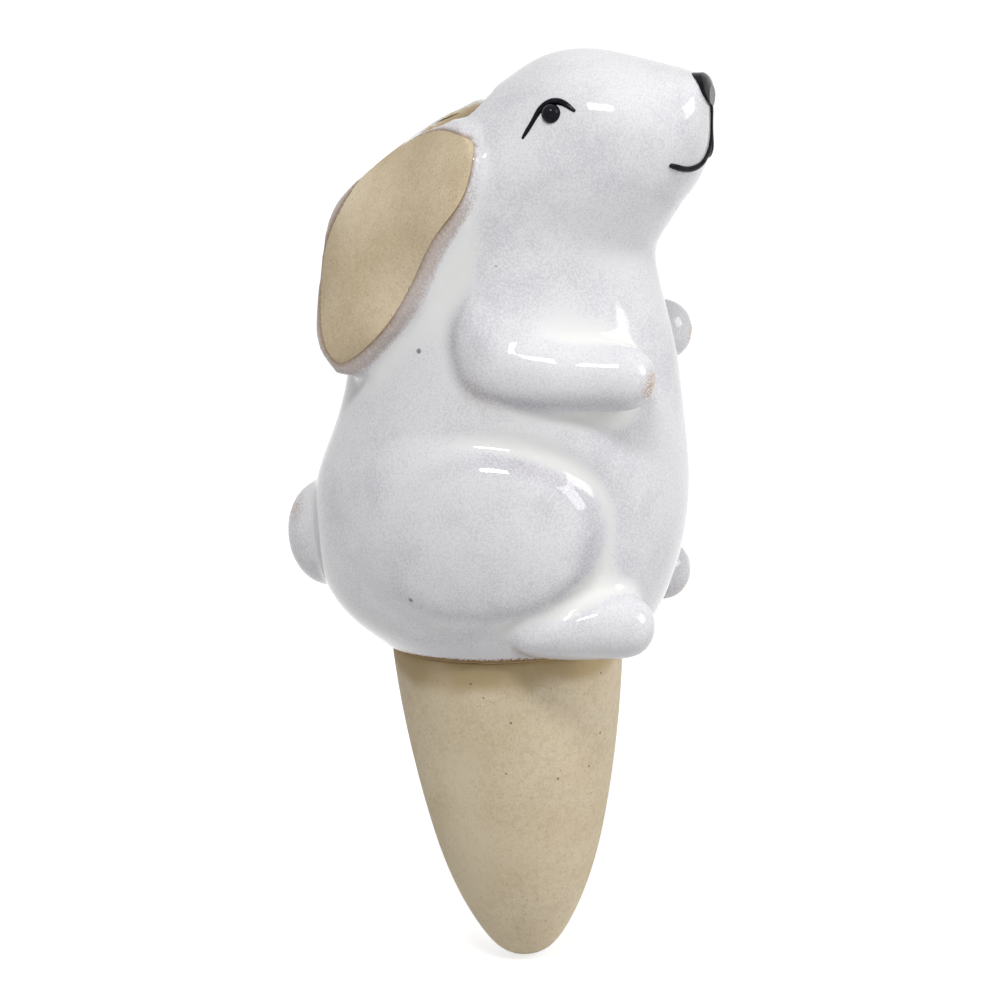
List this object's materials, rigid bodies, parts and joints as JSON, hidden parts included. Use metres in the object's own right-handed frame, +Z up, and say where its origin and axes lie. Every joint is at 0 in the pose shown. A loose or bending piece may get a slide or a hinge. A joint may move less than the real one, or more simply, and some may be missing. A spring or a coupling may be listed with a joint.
{
  "type": "self watering spike",
  "caption": "Hollow ceramic rabbit on a bare clay spike that holds water, filled through the back of the head, and seeps it into the soil of a plant pot.",
  "frame": {"origin": "on the spike's axis at the soil line, where the spike leaves the underside of the figure", "axes": "+Z up, with the spike pointing down -Z; the rabbit faces -Y and its own right side is -X"},
  "size_m": [0.0692, 0.0885, 0.1806],
  "materials": {
    "white_glaze": "glossy white glaze that thins to mauve and tan on edges",
    "bare_clay": "unglazed sandy buff stoneware with fine dark specks",
    "black_enamel": "glossy black brushed enamel"
  },
  "bodies": {
    "root": {"arm_left": "white_glaze", "arm_right": "white_glaze", "ear_face_left": "bare_clay", "ear_face_right": "bare_clay", "ear_left": "white_glaze", "ear_right": "white_glaze", "eye_left": "black_enamel", "eye_right": "black_enamel", "foot_left": "white_glaze", "foot_right": "white_glaze", "haunch_left": "white_glaze", "haunch_right": "white_glaze", "head": "white_glaze", "lash_left": "black_enamel", "lash_right": "black_enamel", "mouth": "black_enamel", "nose": "black_enamel", "spike": "bare_clay", "tail": "white_glaze", "torso": "white_glaze"}
  },
  "joints": []
}
